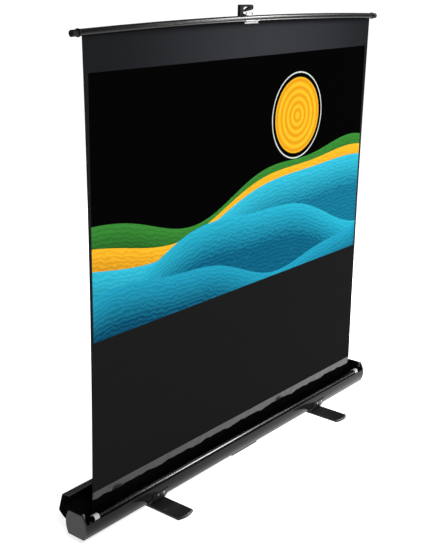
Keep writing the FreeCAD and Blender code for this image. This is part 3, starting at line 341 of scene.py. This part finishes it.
def gloss_coat(name):
    """Glossy black coat with faint wiping marks and a little orange peel.

    The front bead is black with one polished band, and a painted sheen makes the lid's lip grey.
    """
    finish = Finish(name)
    _, y, z = finish.axes()
    marks = finish.noise(5.0, 6.0, finish.stretched((0.6, 4.0, 4.0)))
    coat = finish.mix(marks, grey(0.002), grey(0.005))
    # Painted sheen: the lid's lip is made grey as if it caught light from above
    coat = finish.mix(finish.spread(z, *LIP_SHEEN_ZONE), coat, grey(0.024))
    above = finish.math("SUBTRACT", z, BEAD_Z)
    from_bead = finish.diagonal(finish.math("SUBTRACT", y, BEAD_Y), above)
    on_bead = finish.spread(from_bead, *BEAD_ZONE)
    band = finish.math("MULTIPLY", finish.spread(above, *BAND_FOOT), finish.spread(above, *BAND_HEAD))
    bead = finish.mix(band, grey(0.0012), grey(0.052))
    finish.set("Base Color", finish.mix(on_bead, coat, bead))
    finish.set("Metallic", on_bead)
    wiped = finish.vary(marks, 0.10, 0.17)
    finish.set("Roughness", finish.math("MULTIPLY", wiped, finish.spread(on_bead, 0.0, 1.0, 1.0, 1.6)))
    finish.set("Specular IOR Level", 0.12)
    finish.bump(finish.noise(700.0, 2.0), 0.02, 0.0004)
    return finish.material


def moulded(name, shade, tint, roughness, grain, shine=0.5):
    """Moulded plastic with a fine sparked grain."""
    finish = Finish(name)
    finish.set("Specular IOR Level", shine)
    clouds = finish.noise(35.0, 4.0)
    finish.set("Base Color", finish.mix(clouds, grey(shade * 0.86, tint), grey(shade * 1.14, tint)))
    finish.set("Roughness", finish.vary(clouds, roughness - 0.06, roughness + 0.06))
    finish.bump(finish.noise(1600.0, 2.0), grain, 0.0003)
    return finish.material


def cap_plastic(name):
    """Grey grained face inside a black rim of painted shade, which stands in for the shaded bevel round its
    edge.
    """
    finish = Finish(name)
    x, y, z = finish.axes()
    clouds = finish.noise(60.0, 4.0)
    face = finish.mix(clouds, grey(0.040, MAUVE), grey(0.056, MAUVE))
    across = finish.math("SUBTRACT", finish.math("ABSOLUTE", y), CAP_ARC_CENTRE_Y)
    bulge = finish.diagonal(across, finish.math("SUBTRACT", z, CAP_ARC_CENTRE_Z))
    inside_shaded_rim = finish.spread(finish.math("ABSOLUTE", x), *CAP_OUTSIDE)
    inside_shaded_rim = finish.math("MULTIPLY", inside_shaded_rim, finish.spread(bulge, *CAP_ARC_RIM))
    inside_shaded_rim = finish.math("MULTIPLY", inside_shaded_rim, finish.spread(z, *CAP_FOOT))
    # Painted shade: the black rim outside the face stands in for the shade on the cap's bevelled edge
    finish.set("Base Color", finish.mix(inside_shaded_rim, grey(0.004), face))
    finish.set("Roughness", finish.spread(inside_shaded_rim, 0.0, 1.0, 0.30, 0.60))
    finish.set("Specular IOR Level", 0.3)
    finish.bump(finish.noise(1500.0, 2.0), 0.12, 0.0003)
    return finish.material


def bare_metal(name, shade, tint, roughness, along):
    """Drawn or brushed metal with streaks along one axis."""
    finish = Finish(name, Metallic=1.0)
    streaks = finish.streaks(along, 3.0, 260.0, 5.0)
    finish.set("Base Color", finish.mix(streaks, grey(shade * 0.88, tint), grey(shade * 1.08, tint)))
    finish.set("Roughness", finish.vary(streaks, roughness - 0.07, roughness + 0.08))
    finish.bump(streaks, 0.05, 0.0003)
    return finish.material


def satin_black(name, roughness, along, shine):
    """Black anodised or powder-coated metal."""
    finish = Finish(name)
    finish.set("Specular IOR Level", shine)
    streaks = finish.streaks(along, 4.0, 180.0, 4.0)
    finish.set("Base Color", finish.mix(streaks, grey(0.003), grey(0.007)))
    finish.set("Roughness", finish.vary(streaks, roughness - 0.05, roughness + 0.05))
    finish.bump(finish.noise(1300.0, 2.0), 0.015, 0.0003)
    return finish.material


def woven(finish, strength):
    """Fine plain weave as a bump: two sets of threads."""
    x, _, z = finish.axes()
    thread = 2 * math.pi / THREAD_PITCH
    warp = finish.math("SINE", finish.math("MULTIPLY", x, thread))
    weft = finish.math("SINE", finish.math("MULTIPLY", z, thread))
    finish.bump(finish.math("MULTIPLY", warp, weft), strength, 0.0001)


def cloth_back():
    """Dark coated back of the cloth."""
    finish = Finish("cloth_back")
    clouds = finish.noise(3.0, 5.0)
    finish.set("Base Color", finish.mix(clouds, grey(0.010), grey(0.016)))
    finish.set("Roughness", 0.7)
    finish.set("Specular IOR Level", 0.25)
    woven(finish, 0.3)
    return finish.material


def cloth_gloss():
    """Lowest strip of the cloth, smooth and shiny."""
    finish = Finish("cloth_gloss")
    clouds = finish.noise(4.0, 4.0)
    finish.set("Base Color", finish.mix(clouds, grey(0.002), grey(0.004)))
    finish.set("Roughness", finish.vary(clouds, 0.08, 0.15))
    finish.set("Specular IOR Level", 0.48)
    return finish.material


def cloth_tail():
    """Matt black end of the cloth that runs down to the roller."""
    finish = Finish("cloth_tail", Roughness=0.6)
    clouds = finish.noise(4.0, 4.0)
    finish.set("Base Color", finish.mix(clouds, grey(0.001), grey(0.003)))
    finish.set("Specular IOR Level", 0.0)
    woven(finish, 0.12)
    return finish.material


def hill(finish, across, up, base, swing, pace, shift, small_swing):
    """Height of a wave-shaped hill's crest above a point, in shares of the picture's height."""
    wave = finish.math("SINE", finish.math("MULTIPLY_ADD", across, pace, shift))
    small_wave = finish.math("SINE", finish.math("MULTIPLY_ADD", across, pace * 2.7, shift * 1.9))
    crest = finish.math("MULTIPLY_ADD", wave, swing, base)
    crest = finish.math("MULTIPLY_ADD", small_wave, small_swing, crest)
    return finish.math("SUBTRACT", crest, up)


def disc(finish, across, up, ground):
    """Golden disc with fine rings and a pale line round it, laid over a ground."""
    aspect = 2 * PICTURE_HALF / (PICTURE_TOP - PICTURE_BOTTOM)
    side = finish.math("MULTIPLY", finish.math("SUBTRACT", across, DISC_ACROSS), aspect)
    radius = finish.diagonal(side, finish.math("SUBTRACT", up, DISC_UP))
    rings = finish.math("SINE", finish.math("MULTIPLY", radius, DISC_RINGS))
    gold = finish.mix(finish.spread(rings, -1, 1), GOLD_DEEP, GOLD_BRIGHT)
    inside = finish.spread(radius, DISC_RADIUS + DISC_EDGE, DISC_RADIUS - DISC_EDGE)
    colour = finish.mix(inside, ground, gold)
    within = finish.spread(radius, HALO_OUTSIDE + HALO_EDGE, HALO_OUTSIDE - HALO_EDGE)
    beyond = finish.spread(radius, HALO_INSIDE - HALO_EDGE, HALO_INSIDE + HALO_EDGE)
    return finish.mix(finish.math("MULTIPLY", within, beyond), colour, HALO_COLOUR)


def picture(finish, x, z):
    """A made-up night scene: banded hills in turquoise, gold and green under a golden disc."""
    across = finish.spread(x, -PICTURE_HALF, PICTURE_HALF)
    up = finish.spread(z, PICTURE_BOTTOM, PICTURE_TOP)
    grain = finish.noise(26.0, 5.0)
    colour = disc(finish, across, up, grey(0.0012))
    for *crest, light, dark in HILLS:
        depth = hill(finish, across, up, *crest)
        wobble = finish.math("MULTIPLY_ADD", grain, LINE_WOBBLE, depth)
        lines = finish.math("SINE", finish.math("MULTIPLY", wobble, HILL_LINES))
        tone = finish.math("MULTIPLY_ADD", lines, LINE_STRENGTH, finish.spread(depth, 0.0, HILL_DEPTH))
        shade = finish.mix(finish.spread(tone, 0.0, 1.0), light, dark)
        colour = finish.mix(finish.spread(depth, -HILL_EDGE, HILL_EDGE), colour, shade)
    return colour


def cloth_front():
    """Matt face of the cloth: black drop, dark borders with a painted sheen and a painted shadow under the
    bar, and the picture.
    """
    finish = Finish("cloth_front", Roughness=0.85)
    finish.set("Specular IOR Level", 0.0)
    x, _, z = finish.axes()
    # Painted sheen: the border is palest near this x and darker towards both ends, as if lit there
    from_sheen = finish.math("ABSOLUTE", finish.math("SUBTRACT", x, BORDER_SHEEN_X))
    sheen_fade = finish.spread(from_sheen, 0.0, 1.0, smooth=True)
    border = finish.mix(sheen_fade, grey(0.033, COOL), grey(0.0110, COOL))
    # Painted shadow: a darker band just under the bowed bar stands in for the bar's shadow on the cloth
    sag = finish.math("DIVIDE", finish.math("MULTIPLY", x, x), 2 * BOW_RADIUS)
    below_bar = finish.math("SUBTRACT", CLOTH_HIGH.z, finish.math("ADD", z, sag))
    clear = finish.spread(below_bar, *CLEAR_OF_BAR_SHADOW, smooth=True)
    border = finish.mix(clear, grey(0.010, COOL), border)
    above_drop = finish.spread(z, PICTURE_BOTTOM - DROP_EDGE, PICTURE_BOTTOM + DROP_EDGE)
    ground = finish.mix(above_drop, grey(0.0100), border)
    inside = finish.spread(finish.math("ABSOLUTE", x), PICTURE_HALF + PRINT_EDGE, PICTURE_HALF - PRINT_EDGE)
    below_top = finish.spread(z, PICTURE_TOP + PRINT_EDGE, PICTURE_TOP - PRINT_EDGE)
    above_bottom = finish.spread(z, PICTURE_BOTTOM - PRINT_EDGE, PICTURE_BOTTOM + PRINT_EDGE)
    for limit in (below_top, above_bottom):
        inside = finish.math("MULTIPLY", inside, limit)
    finish.set("Base Color", finish.mix(inside, ground, picture(finish, x, z)))
    woven(finish, 0.12)
    return finish.material


# Modelled pieces

def settle():
    """Put the active piece's place, turn and scale into its mesh."""
    bpy.ops.object.transform_apply(location=True, rotation=True, scale=True)


def waves(x, rows):
    """Sum of sine waves across the cloth."""
    return sum(swing * math.sin(2 * math.pi * x / length + shift) for swing, length, shift in rows)


def ripple(x, z):
    """How far the cloth stands off its plane: slack waves above the roller."""
    rise = max(0.0, min(1.0, (z - SLACK_BOTTOM) / SLACK_RISE))
    fall = max(0.0, min(1.0, (SLACK_TOP - z) / SLACK_FALL))
    return SLACK_SWING * rise * fall * math.sin(2 * math.pi * z / SLACK_LENGTH + waves(x, SLACK_PHASES))


def make_cloth():
    """Stretched sheet with drawn-in sides and a top edge that follows the bowed bar."""
    columns, rows, low_rows, tail_rows = 200, 150, 36, 26
    deselect()
    bpy.ops.mesh.primitive_grid_add(x_subdivisions=columns, y_subdivisions=rows, size=2,
                                    rotation=(math.pi / 2, 0, 0))
    cloth = bpy.context.object
    cloth.name = "screen_cloth"
    settle()
    mesh = cloth.data
    low_share, tail_share = 2.0 * low_rows / rows - 1.0, 2.0 * tail_rows / rows - 1.0
    for face in mesh.polygons:
        face.use_smooth = True
        face.material_index = 0 if face.center.z > low_share else 1 if face.center.z > tail_share else 2
    bottom = CLOTH_LOW.z
    strip_bottom = bottom + (DROP_BOTTOM - bottom) * tail_rows / low_rows
    for vertex in mesh.vertices:
        across, rise = vertex.co.x, vertex.co.z
        at_edge = across * CLOTH_HALF
        top = CLOTH_HIGH.z - (BOW_RADIUS - math.sqrt(BOW_RADIUS ** 2 - at_edge ** 2))
        if rise <= low_share + 1e-6:
            z = bottom + (DROP_BOTTOM - bottom) * (rise + 1.0) / (low_share + 1.0)
        else:
            z = DROP_BOTTOM + (top - DROP_BOTTOM) * (rise - low_share) / (1.0 - low_share)
        share = 2.0 * (z - bottom) / (top - bottom) - 1.0
        half = CLOTH_HALF - CLOTH_WAIST * (1.0 - share * share)
        x = across * half
        z += waves(x, STRIP_WAVES) * max(0.0, 1.0 - abs(z - strip_bottom) / STRIP_REACH)
        vertex.co = (x, CLOTH_Y + ripple(x, z), z)
    back = cloth_back()
    faces = (cloth_front(), cloth_gloss(), cloth_tail())
    for material in (*faces, back, back, back):
        mesh.materials.append(material)
    skin = cloth.modifiers.new("thickness", "SOLIDIFY")
    skin.thickness = CLOTH_THICKNESS * 0.6
    skin.offset = 0.0
    skin.material_offset = len(faces)
    skin.material_offset_rim = len(faces)
    bpy.ops.object.modifier_apply(modifier=skin.name)
    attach(cloth, "case")
    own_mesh(cloth)
    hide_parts("screen_fabric")


def pick_faces(obj, test):
    """In edit mode, select the faces whose centre and normal pass a test."""
    bpy.ops.object.mode_set(mode="EDIT")
    bpy.ops.mesh.select_mode(type="FACE")
    bpy.ops.mesh.select_all(action="DESELECT")
    bpy.ops.object.mode_set(mode="OBJECT")
    for face in obj.data.polygons:
        face.select = test(face.center, face.normal)
    bpy.ops.object.mode_set(mode="EDIT")


def make_roll():
    """Wound cloth on the roller, with the edges of its turns showing at both ends."""
    centre = (ROLL_LOW + ROLL_HIGH) / 2
    radius = (ROLL_HIGH.z - ROLL_LOW.z) / 2
    length = ROLL_HIGH.x - ROLL_LOW.x
    turns, sheet_thickness, ragged = 5, 0.00045, 0.0005
    deselect()
    bpy.ops.mesh.primitive_cylinder_add(vertices=96, radius=radius, depth=length, location=centre,
                                        rotation=(0, math.pi / 2, 0))
    roll = bpy.context.object
    roll.name = "cloth_roll"
    settle()
    for side in (-1, 1):
        end = centre.x + side * length / 2
        pick_faces(roll, lambda c, n: n.x * side > 0.9 and abs(c.x - end) < 1e-4)
        for turn in range(turns):
            bpy.ops.mesh.inset(thickness=sheet_thickness)
            inward = -side * ragged if turn % 2 == 0 else side * ragged
            bpy.ops.mesh.extrude_region_move(TRANSFORM_OT_translate={"value": (inward, 0, 0)})
        bpy.ops.mesh.delete(type="FACE")
        bpy.ops.object.mode_set(mode="OBJECT")
    bpy.ops.object.shade_smooth_by_angle(angle=math.radians(40))
    roll.data.materials.append(cloth_back())
    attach(roll, "roller")
    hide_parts("fabric_roll")


def make_screw_head(name, radius, height):
    """Domed cross-recess screw head standing on z = 0."""
    rim, dome = radius * 0.02, height * 0.45
    blade_size = (radius * 1.15, radius * 0.24, height * 0.9)
    deselect()
    bpy.ops.mesh.primitive_cylinder_add(vertices=40, radius=radius, depth=height, location=(0, 0, height / 2))
    head = bpy.context.object
    head.name = name
    settle()
    pick_faces(head, lambda c, n: n.z > 0.9)
    bpy.ops.mesh.inset(thickness=rim)
    bpy.ops.mesh.bevel(offset=dome, segments=4, affect="EDGES", clamp_overlap=True)
    bpy.ops.object.mode_set(mode="OBJECT")
    for turn in (0, math.pi / 2):
        bpy.ops.mesh.primitive_cube_add(size=1, location=(0, 0, height), rotation=(0, 0, turn))
        blade = bpy.context.object
        blade.scale = blade_size
        settle()
        deselect()
        head.select_set(True)
        bpy.context.view_layer.objects.active = head
        recess = head.modifiers.new("recess", "BOOLEAN")
        recess.object = blade
        recess.solver = "EXACT"
        bpy.ops.object.modifier_apply(modifier=recess.name)
        bpy.data.objects.remove(blade)
    bpy.ops.object.shade_smooth_by_angle(angle=math.radians(35))
    return head


def set_screws(name, node, pattern, places, body, steel):
    """One head copied to each place; a place is a seat point and an outward direction."""
    copies = []
    for seat, outward in places:
        copy = pattern.copy()
        copy.data = pattern.data.copy()
        bpy.context.scene.collection.objects.link(copy)
        turn = Vector(outward).to_track_quat("Z", "X").to_matrix().to_4x4()
        copy.data.transform(Matrix.Translation(seat) @ turn)
        copies.append(copy)
    deselect()
    for copy in copies:
        copy.select_set(True)
    bpy.context.view_layer.objects.active = copies[0]
    bpy.ops.object.join()
    screws = bpy.context.object
    screws.name = name
    screws.data.materials.clear()
    screws.data.materials.append(steel)
    bpy.data.objects.remove(pattern)
    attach(screws, body)
    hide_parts(node)


def make_screws(steel):
    """Screws of the saddles, of the end caps, and of the bar's clip and rear plate."""
    sides = (-1, 1)
    saddle_x, ear_y, ear_z, pitch = 0.575, 0.054576, 0.05448, 0.016
    slope = math.radians(12.694)
    saddle = [((side * saddle_x + offset, face * ear_y, ear_z), (0, face * math.cos(slope), -math.sin(slope)))
              for side in sides for offset in (-pitch, pitch) for face in sides]
    head = make_screw_head("saddle_head", radius=0.0045, height=0.0024)
    set_screws("saddle_screw_heads", "saddle_screws", head, saddle, "case", steel)
    cap_x, cap_y, floor_z = 0.980, 0.022, 0.030
    cap = [((side * cap_x, y, floor_z), (0, 0, -1)) for side in sides for y in (-cap_y, cap_y)]
    head = make_screw_head("cap_head", radius=0.0040, height=0.0016)
    set_screws("cap_screw_heads", "end_cap_screws", head, cap, "case", steel)
    clip_x, clip_radius, under = 0.030, 0.0139, math.radians(48)
    outward = (0, -math.sin(under), -math.cos(under))
    strip_y, strip_z = CLOTH_Y + clip_radius * outward[1], BAR_CROWN + clip_radius * outward[2]
    strip = [((x, strip_y, strip_z), outward) for x in (-clip_x, clip_x)]
    plate_left, plate_right, plate_y, plate_z = -0.005, 0.027, 0.0081, 1.880
    plate = [((x, plate_y, plate_z), (0, 1, 0)) for x in (plate_left, plate_right)]
    head = make_screw_head("clip_head", radius=0.0028, height=0.0014)
    set_screws("clip_screw_heads", "clip_screws", head, strip + plate, "top_bar", steel)


def dress(material, *names):
    """Give CAD nodes one material."""
    for name in names:
        materials = NODES[name].data.materials
        materials.clear()
        materials.append(material)


def dress_frame():
    """Finishes of the CAD nodes that stay; returns the one that the screws share."""
    steel = bare_metal("zinc_plate", shade=0.55, tint=(1.0, 1.0, 1.02), roughness=0.34, along="x")
    tube = bare_metal("drawn_tube", shade=0.44, tint=(1.0, 1.0, 1.03), roughness=0.30, along="z")
    clip = bare_metal("bright_clip", shade=0.17, tint=NEUTRAL, roughness=0.36, along="x")
    cap = cap_plastic("cap_plastic")
    black = moulded("black_moulding", shade=0.005, tint=(1.0, 1.0, 1.03), roughness=0.46,
                    grain=0.10, shine=0.07)
    nylon = moulded("white_nylon", shade=0.44, tint=(0.98, 1.0, 1.05), roughness=0.40,
                    grain=0.03, shine=0.3)
    rubber = moulded("pad_rubber", shade=0.012, tint=NEUTRAL, roughness=0.85, grain=0.25)
    coat = gloss_coat("case_coat")
    catch = moulded("catch_plastic", shade=0.05, tint=MAUVE, roughness=0.55, grain=0.10)
    anodised = satin_black("bar_anodised", roughness=0.18, along="x", shine=0.12)
    powder = satin_black("foot_coat", roughness=0.40, along="y", shine=0.25)
    dress(coat, "case_trough", "lid")
    dress(cap, "end_cap_left", "end_cap_right")
    dress(catch, "lid_catch_left", "lid_catch_right")
    dress(nylon, "nylon_sleeve_left", "nylon_sleeve_right", "slide_bush_lower", "slide_bush_upper",
          "foot_washer_left", "foot_washer_right", "roller_plug_left", "roller_plug_right", "spring_anchor")
    dress(steel, "lid_hinge_rod", "roller_bracket_left", "roller_bracket_right", "spring_shaft",
          "torsion_spring", "mast_fold_pin", "mast_base_bracket", "foot_pivot_left", "foot_pivot_right")
    dress(black, "bar_end_left", "bar_end_right", "mast_head", "twist_collar_lower", "twist_collar_upper",
          "mast_foot", "carry_handle", "carry_handle_lugs")
    dress(clip, "handle_clip", "hook_loop")
    dress(tube, "mast_tube_outer", "mast_tube_middle", "mast_tube_inner", "roller_tube")
    dress(anodised, "top_bar")
    dress(powder, "foot_left", "foot_right", "foot_saddle_left", "foot_saddle_right")
    dress(rubber, "foot_pads_left", "foot_pads_right")
    return steel


aim_camera()
light_studio()
lay_floor()
hang_backdrop()
make_screws(dress_frame())
make_roll()
make_cloth()
